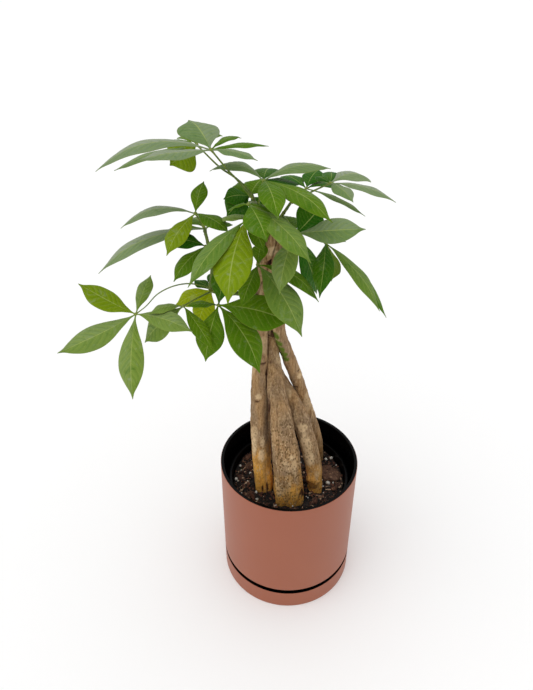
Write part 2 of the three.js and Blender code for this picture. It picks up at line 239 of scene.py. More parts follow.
def mixed(ends, share):
    return ends[0] + (ends[1] - ends[0]) * share


def smoothBetween(values, low, high):
    share = np.clip((values - low) / (high - low), 0, 1)
    return share * share * (3 - 2 * share)


def hermite(w, start, leave, arrive, end):  # from start to end, with the rates of change there
    bend = start * (2 * w**3 - 3 * w**2 + 1) + leave * (w**3 - 2 * w**2 + w)
    return bend + end * (3 * w**2 - 2 * w**3) + arrive * (w**3 - w**2)


def runOn(values):  # with one more value past each end
    return np.concatenate([[2 * values[0] - values[1]], values, [2 * values[-1] - values[-2]]])


def routeAt(knots, shares):  # the centripetal curve through the knots
    last = len(knots) - 1
    padded = runOn(np.array(knots, float))
    points = []
    for share in shares:
        i = min(int(share * last), last - 1)
        p0, p1, p2, p3 = padded[i:i + 4]
        steps = (p1 - p0, p2 - p1, p3 - p2)
        d0, d1, d2 = (max(math.sqrt(np.linalg.norm(step)), 1e-5) for step in steps)
        leave = ((p1 - p0) / d0 - (p2 - p0) / (d0 + d1) + (p2 - p1) / d1) * d1
        arrive = ((p2 - p1) / d1 - (p3 - p1) / (d1 + d2) + (p3 - p2) / d2) * d1
        points.append(hermite(share * last - i, p1, leave, arrive, p2))
    return np.array(points)


def evenly(values, shares):  # a smooth run of single numbers, evenly spaced, read at shares
    padded = runOn(values)
    place = shares * (len(values) - 1)
    i = np.minimum(place.astype(int), len(values) - 2)
    p0, p1, p2, p3 = (padded[i + k] for k in range(4))
    return hermite(place - i, p1, (p2 - p0) / 2, (p3 - p1) / 2, p2)


def lengthAlong(route):
    return np.concatenate([[0], np.cumsum(np.linalg.norm(np.diff(route, axis=0), axis=1))])


def tubeRows(route, radii, around):  # rings round a route, with a radius for each ring
    angles = ringAngles(around)
    side = np.array([1.0, 0.0, 0.0])
    rows = []
    for centre, direction, radius in zip(route, unit(np.gradient(route, axis=0)), radii):
        side = unit(side - direction * side.dot(direction))
        across = np.cross(direction, side)
        rows.append(centre + radius * (np.outer(np.cos(angles), side) + np.outer(np.sin(angles), across)))
    return np.array(rows)


def ripple(points, size, seed=0.0):  # smooth noise, about -1 to 1, with waves of the given size
    flat = points.reshape(-1, 3) / size + seed
    return np.array([noise.noise(p) for p in flat.tolist()]).reshape(points.shape[:-1]) * 1.6


studio = {
    "camera": (-0.0247, -0.4725, 0.6422), "pitch": 55.26, "lens": 31.304, "sensor": 36.0, "clip": (0.02, 60),
    "floor": 30.0, "world": 0.74,
}
lamps = {  # direction it comes from, strength, spread in degrees
    "keyLight": ((-0.75, -0.65, 1.3), 0.85, 70),
    "topLight": ((0.3, 0.35, 1.4), 0.35, 90),
}


def makeStudio():
    scene = bpy.context.scene
    view = bpy.data.cameras.new("photoView")
    view.lens, view.sensor_width = studio["lens"], studio["sensor"]
    view.clip_start, view.clip_end = studio["clip"]
    scene.camera = addObject("photoView", view)
    scene.camera.location = studio["camera"]
    scene.camera.rotation_euler = (math.radians(studio["pitch"]), 0, 0)
    for name, (source, strength, spread) in lamps.items():
        light = bpy.data.lights.new(name, "SUN")
        light.energy, light.angle = strength, math.radians(spread)
        addObject(name, light).rotation_euler = Vector(source).to_track_quat("Z", "Y").to_euler()
    scene.world = bpy.data.worlds.new("softRoom")
    scene.world.use_nodes = True
    background = scene.world.node_tree.nodes["Background"]
    background.inputs["Strength"].default_value = studio["world"]
    background.inputs["Color"].default_value = (1, 1, 1, 1)
    scene.view_settings.view_transform = "Standard"
    half = studio["floor"]
    corners = [(-half, -half, 0), (half, -half, 0), (half, half, 0), (-half, half, 0)]
    mesh = bpy.data.meshes.new("floor")
    mesh.from_pydata(corners, [], [(0, 1, 2, 3)])
    mesh.materials.append(Paint("floorPaint").finish(rgb(252, 252, 252), 0.9))
    addObject("floor", mesh)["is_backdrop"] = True


print("studio")
makeStudio()


def potCoat():
    paint = Paint("potCoat", Specular_IOR_Level=0.72)
    cloud = paint.grain(9.0, 2.0)
    speck = paint.grain(1400.0, 2.0)
    worn = (cloud.between(0.35, 0.7) * 0.5, rgb(157, 84, 49))
    dusk = (speck.between(0.55, 0.8) * 0.18, rgb(139, 67, 33))
    tone = paint.coats(rgb(150, 76, 41), worn, dusk)
    return paint.finish(tone, 0.4 + speck * 0.06 + cloud * 0.06, speck, 0.08, 0.0002)


def potBlack():
    paint = Paint("potInsideAndGrooveShade", Specular_IOR_Level=0.09)
    speck = paint.grain(900.0)
    smear = paint.grain(28.0)
    tone = paint.mix(smear, rgb(0, 0, 0), rgb(4, 4, 5))
    return paint.finish(tone, 0.2 + smear * 0.14, speck, 0.12, 0.0002)


def growerBlack():
    paint = Paint("growerBlack", Specular_IOR_Level=0.12)
    dust = paint.grain(60.0, 4.0)
    scuff = paint.grain((300.0, 1200.0), 2.0)
    tone = paint.mix(dust.between(0.5, 0.75) * 0.5, rgb(0, 0, 0), rgb(9, 9, 12))
    return paint.finish(tone, 0.2 + scuff * 0.2, scuff, 0.15, 0.0002)


def soilFinish():
    paint = Paint("pottingMix")
    lump = paint.grain(240.0, 5.0, 0.7)
    fleck = paint.cells(620.0)
    # From near black to dark brown: the near-black end is partly the mix's own colour and partly painted
    # shade for the gaps between chips.
    damp = paint.mix(lump.between(0.35, 0.65), rgb(2, 1, 1), rgb(30, 17, 12))
    tone = paint.mix(fleck.between(0.24, 0.1) * 0.35, damp, rgb(88, 60, 40))
    return paint.finish(tone, 0.86 - lump * 0.12, lump + fleck * 0.4, 0.9, 0.0016)


def crumbFinish(name, dark, light, pale, fibre):  # chips and crumbs, each with a tint of its own
    paint = Paint(name)
    tint, paleShare = paint.marks("chipTint")[:2]
    grain = paint.grain(320.0, 5.0, 0.65, 0.6)
    ridge = paint.grain((260.0, 900.0), 3.0, 0.6)
    tone = paint.mix(tint * 0.75 + (grain - 0.5) * 0.9, dark, light)
    # Pale fibre streaks, and pale flecks where the chipTint mark asks for them; the flecks are partly pale
    # grains and partly painted highlights.
    for share in (ridge.between(0.55, 0.72) * fibre, paleShare * grain.between(0.3, 0.6)):
        tone = paint.mix(share, tone, pale)
    return paint.finish(tone, 0.82 - grain * 0.1, grain + ridge * 0.5, 0.7, 0.0008)


def perliteFinish():
    paint = Paint("perlite")
    pit = paint.cells(1500.0)
    dirt = paint.grain(300.0, 4.0)
    tone = paint.mix(dirt.between(0.48, 0.72) * 0.6, rgb(238, 234, 224), rgb(150, 132, 108))
    return paint.finish(tone, 0.8, pit, 0.6, 0.0006)


# Bark marks: moss, pale wood, ochre; bark shades: scars with painted seam shade, lenticels, damp.
def barkFinish():
    tan, grey, brown, pale = rgb(168, 132, 91), rgb(146, 120, 92), rgb(92, 62, 36), rgb(220, 190, 148)
    paint = Paint("bark", Specular_IOR_Level=0.2)
    mossShare, paleShare, ochreShare = paint.marks("barkMark")
    scarAndSeamShadeShare, lenticel, damp = paint.marks("barkShade")
    cloud = paint.grain((70.0, 26.0))
    streak = paint.grain((460.0, 46.0), 5.0, 0.65, 0.4)
    fine = paint.grain((800.0, 330.0), 4.0, 0.7)
    pits = paint.cells((430.0, 250.0)).between(0.44, 0.24) * fine.between(0.34, 0.48)
    dots = paint.cells((560.0, 300.0)).between(0.34, 0.18) * cloud.between(0.36, 0.56)
    flecks = paint.cells((300.0, 210.0)).between(0.26, 0.14) * (lenticel * 0.6 + ochreShare * 0.5)
    rusty = fine.between(0.44, 0.6) * 0.45 + streak.between(0.5, 0.62) * 0.25
    ochre = paint.mix(rusty, rgb(252, 188, 86), rgb(206, 130, 52))
    tone = paint.coats(
        tan,
        (cloud.between(0.34, 0.66), grey),
        (streak.between(0.5, 0.66) * 0.6, brown),
        (streak.between(0.46, 0.34) * 0.4, pale),
        (fine.between(0.5, 0.68) * 0.45, rgb(120, 98, 48)),
        (ochreShare * (0.5 + streak * 0.9), ochre),
        (paleShare * (0.55 + fine * 0.5), pale),
        (flecks, pale),
        (streak.between(0.44, 0.34) * ochreShare * 0.6, pale),
        (pits * (0.12 + lenticel * 0.66) * (1 - ochreShare * 0.6), rgb(98, 74, 34)),
        (dots * (0.15 + lenticel * 0.3), brown),
        (mossShare * (0.7 + fine * 0.5), rgb(84, 108, 16)),
        # Scars, darkened cut ends, and painted shade in the seams between trunks.
        (scarAndSeamShadeShare * (0.75 + fine * 0.4), rgb(56, 20, 9)),
        (damp * 0.12, rgb(74, 46, 24)),
    )
    height = streak * 0.9 + fine * 0.55 - pits * (0.3 + lenticel) - dots * 0.6
    return paint.finish(tone, 0.88 - fine * 0.16, height, 0.75, 0.0011)


def shootFinish():
    paint = Paint("greenShoot")
    age, ring = paint.marks("shootMark")[:2]
    streak = paint.grain((700.0, 120.0))
    tone = paint.mix(streak.between(0.35, 0.7), rgb(78, 102, 22), rgb(110, 124, 40))
    tone = paint.coats(tone, (age, rgb(134, 116, 84)), (ring, rgb(88, 76, 44)))
    return paint.finish(tone, 0.5 + streak * 0.15, streak, 0.4, 0.0004)


def stalkFinish():
    paint = Paint("leafStalk")
    swelling = paint.marks("leafTone")[0]
    streak = paint.grain((600.0, 200.0))
    tone = paint.mix(streak.between(0.35, 0.7), rgb(78, 104, 18), rgb(118, 134, 40))
    tone = paint.mix(swelling * 0.5, tone, rgb(140, 148, 62))
    return paint.finish(tone, 0.46 + streak * 0.12, streak, 0.3, 0.0003)


veins = {"count": 10.0, "lean": 1.5, "curl": 0.55}  # side veins to a leaflet, and how they run back


# Leaf coordinates: across the blade (-1 to 1), along it (0 to 1), the blade's own number.
# Leaf tones: towards yellow, where high also painted backlight; towards light green, partly the leaflet's own
# tone and partly painted light and shade; towards the grey sheen, a painted reflection of the bright room.
def bladeFinish(name, deep, fresh, gloss, veinHeight):
    # The emission strength serves the painted backlight glow below.
    paint = Paint(name, Specular_IOR_Level=0.06, Emission_Strength=0.4)
    across, along, own = paint.marks("leafCoord")
    yellow, light, grey = paint.marks("leafTone")
    cloud = paint.grain(70.0)
    fine = paint.grain(900.0)
    sheen = paint.grain(130.0, 5.0, 0.6, 0.8)
    net = paint.cells(520.0, "DISTANCE_TO_EDGE")
    out = abs(across)
    wobble = (cloud - 0.5) * 0.7
    phase = along * veins["count"] - out * veins["lean"] - out * out * veins["curl"] + own * 5.0 + wobble
    phase = phase.fraction()
    fromVein = abs(phase - 0.5)
    reach = out.between(0.98, 0.6) * along.between(0.06, 0.16)
    vein = fromVein.between(0.075, 0.02) * reach
    halo = fromVein.between(0.3, 0.05) * reach
    # quilt: painted shade of the quilted blade, each band lighter near one vein and darker near the next, as
    # though lit from one side.
    quilt = phase.between(0.0, 0.9) * reach * light
    veined = light * 0.8 + 0.25
    tone = paint.coats(
        deep,
        # Over the deep green: light green, partly the leaflet's own tone and partly painted light and shade;
        # yellow, partly own tone and partly painted light; grey, a painted sheen.
        (light + (cloud - 0.5) * 0.5, fresh),
        (yellow * (0.8 + cloud * 0.4), rgb(132, 148, 4)),
        (grey, rgb(152, 160, 142)),
        (quilt * 0.2, deep),
        (sheen.between(0.54, 0.72) * (light * 0.2 + 0.1), rgb(158, 166, 140)),
        (sheen.between(0.42, 0.3) * 0.35, deep),
        (halo * veined * 0.18, rgb(146, 164, 60)),
        (vein * veined * 0.24, rgb(150, 168, 86)),
        (out.between(0.045, 0.015) * 0.6, rgb(164, 178, 96)),  # the midrib
        (net.between(0.06, 0.02) * 0.1, rgb(150, 170, 90)),
        (out.between(0.95, 1.0) * 0.35, rgb(150, 158, 60)),  # the edge
        (fine.between(0.7, 0.78) * 0.3, rgb(150, 150, 80)),
    )
    height = vein * veinHeight - halo * 0.5 + fine * 0.12 + net.between(0.0, 0.12) * 0.2
    # The glow is painted backlight: the most yellow leaflets glow as though lit through from behind.
    paintedGlow = paint.mix(yellow.between(0.72, 0.88), rgb(0, 0, 0), rgb(122, 130, 0))
    return paint.finish(tone, gloss + fine * 0.1 + cloud * 0.08, height, 0.55, 0.0005, paintedGlow)


print("finishes")
coatFinish = potCoat()
insideAndGrooveShadeFinish = potBlack()
chipFinish = crumbFinish("barkChip", rgb(12, 4, 2), rgb(100, 54, 37), rgb(204, 164, 124), 0.34)
crumbsFinish = crumbFinish("crumb", rgb(5, 2, 1), rgb(132, 82, 60), rgb(214, 184, 152), 0.24)
woodFinish = barkFinish()
greenFinish = shootFinish()
leafFinishes = [
    bladeFinish("leafTop", rgb(30, 88, 0), rgb(104, 138, 10), 0.36, -0.6),
    bladeFinish("leafUnder", rgb(74, 108, 24), rgb(118, 144, 44), 0.56, 0.6),
    stalkFinish(),
]


saucerDish = {
    "radius": 75, "height": 24, "wall": 3.4, "floor": 3, "edge": 1.4, "lip": 0.5, "middle": 0.4,
    "around": 192, "longest": 6,
}
planter = {
    "radius": 75, "height": 164, "wall": 3.6, "floor": 4, "lowerEdge": 30, "footRadius": 69,
    "drain": 6, "edge": 0.9, "around": 192, "longest": 8,
}
grower = {
    "rimRadius": 66.5, "rimZ": 140, "baseRadius": 49, "wall": 1.6, "floor": 2, "bead": 1.4,
    "beadHeight": 4, "drain": 4, "around": 160, "longest": 5,
}
gap = 0.3
footZ = saucerDish["floor"] + gap
planterFloorZ = footZ + planter["floor"]
growerBaseZ = planterFloorZ + gap
growerSlope = (grower["rimRadius"] - grower["bead"] - grower["baseRadius"]) / (grower["rimZ"] - growerBaseZ)


def growerOuterAt(z):
    return grower["baseRadius"] + growerSlope * (z - growerBaseZ)


# A profile whose corners (radius, height, rounding, finish) are rounded off. A corner's finish
# holds from it to the next corner.
def roundedProfile(corners, closed, steps=5):
    outline, finishes = [], []
    for k, (r, z, rounding, finish) in enumerate(corners):
        corner = np.array([r, z])
        if rounding == 0:
            outline.append(corner)
            finishes.append(finish)
            continue
        start = corner + unit(np.array(corners[k - 1][:2]) - corner) * rounding
        end = corner + unit(np.array(corners[(k + 1) % len(corners)][:2]) - corner) * rounding
        for step in range(steps + 1):
            t = step / steps
            outline.append(start * (1 - t)**2 + corner * 2 * t * (1 - t) + end * t**2)
            finishes.append(finish if step > steps // 2 else corners[k - 1][3])
    return np.array(outline), finishes


def denser(outline, finishes, longest, closed):  # no stretch of the profile longer than longest
    points, kinds = [], []
    for k in range(len(outline) if closed else len(outline) - 1):
        start, end = outline[k], outline[(k + 1) % len(outline)]
        parts = max(1, math.ceil(np.linalg.norm(end - start) / longest))
        points += [start + (end - start) * part / parts for part in range(parts)]
        kinds += [finishes[k]] * parts
    if not closed:
        points.append(outline[-1])
    return np.array(points), kinds


def makeTurned(name, slot, finishes, node, form, corners, closed=True):  # a lathe's work
    outline, kinds = denser(*roundedProfile(corners, closed), form["longest"], closed)
    rows = [[[r * math.cos(a), r * math.sin(a), z] for a in ringAngles(form["around"])] for r, z in outline]
    skin = Skin()
    skin.loft(np.array(rows) * mm, np.array(kinds)[:, None], joined=closed)
    skin.piece(name, slot, finishes, node)


def makeSaucer():
    s = saucerDish
    inner = s["radius"] - s["wall"]
    makeTurned("saucerDish", "pot_coat", [coatFinish, insideAndGrooveShadeFinish], "saucer", s, [
        # From the rim's top inwards the saucer takes the black inside finish; on the rim's top this is
        # painted shade in the groove under the planter.
        (s["middle"], 0, 0, 0), (s["radius"], 0, s["edge"], 0), (s["radius"], s["height"], s["lip"], 1),
        (inner, s["height"], s["edge"], 1), (inner, s["floor"], s["edge"] * 2, 1),
        (s["middle"], s["floor"], 0, 1),
    ], closed=False)


def makePlanter():
    p = planter
    inner = p["radius"] - p["wall"]
    footInner = p["footRadius"] - p["wall"]
    makeTurned("planterPot", "pot_coat", [coatFinish, insideAndGrooveShadeFinish], "planter", p, [
        # The foot's underside, its recess and the step above it take the black inside finish: painted shade
        # in the groove over the saucer.
        (p["drain"], footZ, 0, 1), (p["footRadius"], footZ, 1.0, 1),
        (p["footRadius"], p["lowerEdge"], 0.5, 1), (p["radius"], p["lowerEdge"], p["edge"], 0),
        (p["radius"], p["height"], p["edge"], 1),
        (inner, p["height"], p["edge"], 1), (inner, p["lowerEdge"] + p["wall"], 1.5, 1),
        (footInner, p["lowerEdge"] - p["wall"], 1.5, 1), (footInner, planterFloorZ, 2.0, 1),
        (p["drain"], planterFloorZ, 0, 1),
    ])


def makeGrowerPot():
    g = grower
    beadZ = g["rimZ"] - g["beadHeight"]
    floorZ = growerBaseZ + g["floor"]
    makeTurned("growerPot", "black_plastic", [growerBlack()], "nursery_pot", g, [
        (g["drain"], growerBaseZ, 0, 0), (g["baseRadius"], growerBaseZ, 1.0, 0),
        (growerOuterAt(beadZ), beadZ, 0.3, 0), (g["rimRadius"], beadZ + 0.4, 0.4, 0),
        (g["rimRadius"], g["rimZ"], 0.7, 0),
        (growerOuterAt(g["rimZ"]) - g["wall"], g["rimZ"], 0.7, 0),
        (growerOuterAt(floorZ) - g["wall"], floorZ, 1.0, 0), (g["drain"], floorZ, 0, 0),
    ])


print("pots")
makeSaucer()
makePlanter()
makeGrowerPot()


# Below the braid, from the root end up: x, y, z, radius in millimetres.
rootZ = 100
trunks = {
    "left": [
        [-25, -12, rootZ, 7], [-27, -12, 132, 9.3], [-31, -10, 185, 9.3], [-32, -7, 245, 8.8],
        [-31, -5, 295, 7.6],
    ],
    "front": [
        [-1, -25, rootZ, 11], [0, -26, 132, 15], [-4, -25, 182, 15], [-9, -20, 225, 12.8], [-17, -8, 285, 8],
    ],
    "right": [
        [35, 37, rootZ, 6], [34, 34, 132, 8], [29, 26, 175, 7.6], [17, 17, 226, 6.4], [7, 13, 262, 6.6],
        [-2, 8, 292, 6.4],
    ],
    "middle": [
        [30, -15, rootZ, 6], [29, -14, 132, 7.6], [26, -11, 165, 8.6], [11, -3, 222, 9.2], [1, 3, 245, 8],
        [-16, 11, 282, 5],
    ],
    "back": [
        [-22, 36, rootZ, 7], [-22, 34, 132, 9], [-22, 28, 190, 8.5], [-22, 19, 245, 8], [-22, 13, 290, 7],
    ],
}
braid = {
    "foot": [-21, 2, 335], "head": [-22, 0, 436], "turn": 200, "ringRadius": [9, 6.5],
    "stemRadius": [6, 4], "steps": 5,
    "startAngle": {"left": 208, "front": 100, "middle": 152, "right": 332, "back": 40},
}
bark = {
    "around": 56, "stations": 240, "folds": 0.05, "plates": 0.35, "fine": 0.16, "rings": 0.25,
    "gap": 0.3, "soilZ": 132, "footZ": (136, 172), "footFolds": 0.9, "scarDepth": 0.5, "faintScar": 0.75,
    "seam": (4.8, 1.6), "seamZ": (265, 310), "seamShade": 0.8, "cutShade": 0.6, "ochreFade": 44,
    "peel": (0.42, 0.62), "peelShade": 0.55, "dampTop": 7, "smoothZ": (225, 255),
    "squareness": {"left": 0.9, "front": 1.2, "middle": 0.9, "right": 0.3, "back": 0.2},
    "ochreTop": {"left": 204, "front": 182, "middle": 184, "right": 165, "back": 180},
    "ochre": {"left": 1.0, "front": 1.0, "middle": 0.8, "right": 0.4, "back": 0.7},
    "lenticels": {"left": 0.3, "front": 1.0, "middle": 0.5, "right": 0.3, "back": 0.5},
}
# What the bark shows: x, y, z, reach, and how much taller than wide; and how far each knob stands out.
barkSpots = {
    "pale": [
        (-36, -16, 273, 1.4, 1), (-34, -15, 292, 2.6, 1), (9, 7, 272, 3.6, 1), (-2, -34, 242, 2.4, 1),
        (2, -36, 231, 3.4, 1), (-7, -37, 227, 2.4, 1), (1, -38, 225, 2.0, 1), (3, -39, 200, 6.0, 0.7),
        (12, -15, 219, 7.0, 1), (16, -18, 200, 8.0, 1.8), (20, -18, 180, 7.0, 1.8),
        (-39, -17, 200, 4.5, 4.0), (-30, -21, 186, 4.5, 2.4), (-28, -20, 205, 3.5, 2.8),
        (-21, -8, 418, 5.5, 1),
    ],
    "palePatch": [(-33, -17, 263, 3.4, 1)],
    "scarAndSeamShade": [
        (-33, -17, 256, 4.5, 0.25), (-23, -16, 303, 4.2, 1), (-24, -17, 301, 9.5, 0.13),
        (-24, -20.5, 139, 1.5, 6), (-29, -21, 137, 1.1, 5), (-33, -19, 142, 1.0, 7),
        # The four spots on this line are painted shade: thin tall dark lines on the seam between the left and
        # front trunks.
        (-25, -10, 280, 1.7, 9), (-23, -18, 240, 4.2, 6), (-21, -23, 203, 4.6, 6), (-19, -25, 168, 4.2, 5),
        (7, 7, 279, 2.4, 0.5), (5, 8, 257, 3.4, 0.3), (11, -11, 247, 2.0, 1), (14, -38, 150, 5.0, 1.4),
        (-23, -8, 407, 4.0, 1),
    ],
    "faintScar": [(24, -21, 142, 7.4, 1)],
    "moss": [
        (-17, -6.5, 329, 5.4, 1), (-13.8, -4.8, 320, 5.2, 1), (-11.2, -3.4, 312, 4.8, 1),
        (-8.3, -1.6, 304, 4.6, 1), (-5.8, 0.2, 297, 3.6, 1),
    ],
    "knob": [(-23, -15, 308, 3.0, 1), (8, -36, 207, 3.6, 1), (24, -21, 146, 9.0, 1)],
}
knobLifts = (1.0, 0.9, 1.5)


def trunkKnots(name):
    knots = [list(knot) for knot in trunks[name]]
    for step in range(braid["steps"] + 1):
        share = step / braid["steps"]
        angle = math.radians(braid["startAngle"][name] + braid["turn"] * share)
        ring = mixed(braid["ringRadius"], share)
        x, y, z = (mixed(pair, share) for pair in zip(braid["foot"], braid["head"]))
        x, y = x + ring * math.cos(angle), y + ring * math.sin(angle)
        knots.append([x, y, z, mixed(braid["stemRadius"], share)])
    return np.array(knots, float)


# How strongly each spot of a kind marks the points: 1 at its middle, 0 beyond its reach.
def spotShares(points, kind, rough=0.22, square=False):
    ragged = ripple(points, 2.2, 31.0) * rough
    for x, y, z, reach, tall in barkSpots[kind]:
        away = (points - [x, y, z]) / [1, 1, tall]
        distance = np.abs(away).max(-1) if square else np.linalg.norm(away, axis=-1)
        yield 1 - smoothBetween(distance / reach + ragged, 0.7, 1.08)


# Pushes points out of the trunks made before, so that each lies against its neighbours.
def clearOf(points, others, part=4000):
    pressed = np.zeros(points.shape[:-1])
    for route, radii in others:
        flat = points.reshape(-1, 3)
        starts = range(0, len(flat), part)
        nearest = np.concatenate([((flat[k:k + part, None] - route)**2).sum(-1).argmin(1) for k in starts])
        away = flat - route[nearest]
        distance = np.linalg.norm(away, axis=1)
        needed = radii[nearest] + bark["gap"]
        points = (flat + unit(away) * np.maximum(needed - distance, 0)[:, None]).reshape(points.shape)
        # How near each point lies to a trunk made before; the bark paints this as shade in the seams between
        # trunks.
        seam = mixed(bark["seam"], smoothBetween(flat[:, 2], *bark["seamZ"]))
        near = 1 - smoothBetween((distance - needed) / seam, -0.3, 1)
        pressed = np.maximum(pressed, near.reshape(pressed.shape))
    return points, pressed


def barkMarks(name, rows, pressed, ends):
    def most(kind, **form):
        return np.max(list(spotShares(rows, kind, **form)), axis=0)
    height = rows[..., 2]
    moss = most("moss", rough=0.08) * (name == "right")
    peel = smoothBetween(ripple(rows * [1, 1, 0.45], 11.0, 40.0 + len(name)), *bark["peel"])
    pale = np.maximum.reduce([most("pale"), most("palePatch", square=True), peel * bark["peelShade"]])
    # Painted shade in the seams where trunks press together, kept with the scars.
    paintedSeamShade = pressed * bark["seamShade"]
    scarAndSeamShade = np.maximum.reduce([most("scarAndSeamShade"), most("faintScar") * bark["faintScar"], paintedSeamShade, ends])
    top = bark["ochreTop"][name]
    ochre = 1 - smoothBetween(height + ripple(rows, 9.0, 5.0) * 9, top - bark["ochreFade"], top + 2)
    patchy = 0.55 + 0.45 * smoothBetween(ripple(rows * [1, 1, 0.3], 6.0, 8.0), -0.9, 0.0)
    aboveSoil = height + ripple(rows, 3.0, 2.0) * 2.5 - bark["soilZ"]
    damp = 1 - smoothBetween(aboveSoil, 0, bark["dampTop"])
    lenticel = bark["lenticels"][name] * (1 - smoothBetween(height, *bark["smoothZ"]) * 0.75)
    return {
        "barkMark": np.stack([moss, pale, ochre * bark["ochre"][name] * patchy], -1),
        "barkShade": np.stack([scarAndSeamShade, lenticel, damp], -1),
    }


def makeTrunk(name, others):
    knots = trunkKnots(name)
    shares = np.linspace(0, 1, bark["stations"] + 1)
    route = routeAt(knots[:, :3], shares)
    radii = evenly(knots[:, 3], shares)
    plain = tubeRows(route, radii, bark["around"])
    out = unit(plain - route[:, None, :])
    def waves(stretch, size, shift):  # noise that is each trunk's own, drawn out where stretch is under 1
        return ripple(plain * stretch, size, len(name) * 13.0 + shift)
    lift = waves([1, 1, 0.16], 7.0, 0) * radii[:, None] * bark["folds"]
    lift += waves([1, 1, 0.5], 4.5, 3) * bark["plates"] + waves([1, 1, 0.35], 1.5, 9) * bark["fine"]
    lift -= smoothBetween(waves([0.2, 0.2, 1.0], 5.0, 17), 0.5, 0.75) * bark["rings"]
    foot = 1 - smoothBetween(plain[..., 2], *bark["footZ"])
    cornered = (out[..., 0]**4 + out[..., 1]**4)**-0.25 - 1
    lift += foot * radii[:, None] * cornered * bark["squareness"][name]
    lift += foot * waves([1, 1, 0.1], 3.4, 23) * bark["footFolds"]
    lift += sum(share * height for share, height in zip(spotShares(plain, "knob"), knobLifts))
    scars = [*spotShares(plain, "scarAndSeamShade"), *spotShares(plain, "faintScar")]
    lift -= sum(scars) * bark["scarDepth"]
    rows, pressed = clearOf(plain + out * lift[..., None], others)
    ends = np.zeros(rows.shape[:-1])
    ends[-2:] = bark["cutShade"]
    skin = Skin("barkMark", "barkShade")
    skin.loft(rows * mm, **barkMarks(name, rows, pressed, ends))
    skin.piece("trunk" + name.capitalize(), "bark", [woodFinish], "trunk_" + name)
    others.append((route, radii))


print("trunks")
standing = []
for trunkName in ("left", "front", "right", "middle", "back"):
    makeTrunk(trunkName, standing)


shoots = {
    "crown_shoot": [
        [[-24, 0, 436, 2.2], [-29, 0, 447, 1.7], [-34, 0, 457, 1.4], [-37, 0, 464, 1.3]],
        [[-20, 0, 434, 2.2], [-15, 1, 441, 1.6], [-9, 3, 449, 1.3], [-4, 5, 456, 1.2]],
    ],
    "left_shoot": [[
        [-28, 0, 368, 2.4], [-50, -3, 373, 2.1], [-74, -5, 378, 1.9], [-73, -5, 390, 1.6],
        [-72, -5, 405, 1.5], [-75, -5, 427, 1.4], [-77, -5, 438, 1.3],
    ]],
}
shootForm = {
    "around": 20, "perKnot": 14, "nodeEvery": 11.0, "nodeLift": 0.35, "nodeLong": 0.07, "tip": 2.0,
    "tipShare": 0.35, "woody": (2, 16),
}


def makeShoot(name, nodeName):
    skin = Skin("shootMark")
    for knots in shoots[nodeName]:
        knots = np.array(knots, float)
        shares = np.linspace(0, 1, len(knots) * shootForm["perKnot"])
        route = routeAt(knots[:, :3], shares)
        length = lengthAlong(route)
        ring = np.exp(-((length / shootForm["nodeEvery"] % 1 - 0.5) / shootForm["nodeLong"])**2)
        radii = evenly(knots[:, 3], shares) + ring * shootForm["nodeLift"]
        radii *= mixed((shootForm["tipShare"], 1), smoothBetween(length[-1] - length, -0.5, shootForm["tip"]))
        rows = clearOf(tubeRows(route, radii, shootForm["around"]), standing)[0]
        age = 1 - smoothBetween(length, *shootForm["woody"])
        skin.loft(rows * mm, shootMark=np.stack([age, ring * 0.5, age * 0], -1)[:, None])
    skin.piece(name, "green_shoot", [greenFinish], nodeName)


print("shoots")
makeShoot("crownShoot", "crown_shoot")
makeShoot("leftShoot", "left_shoot")


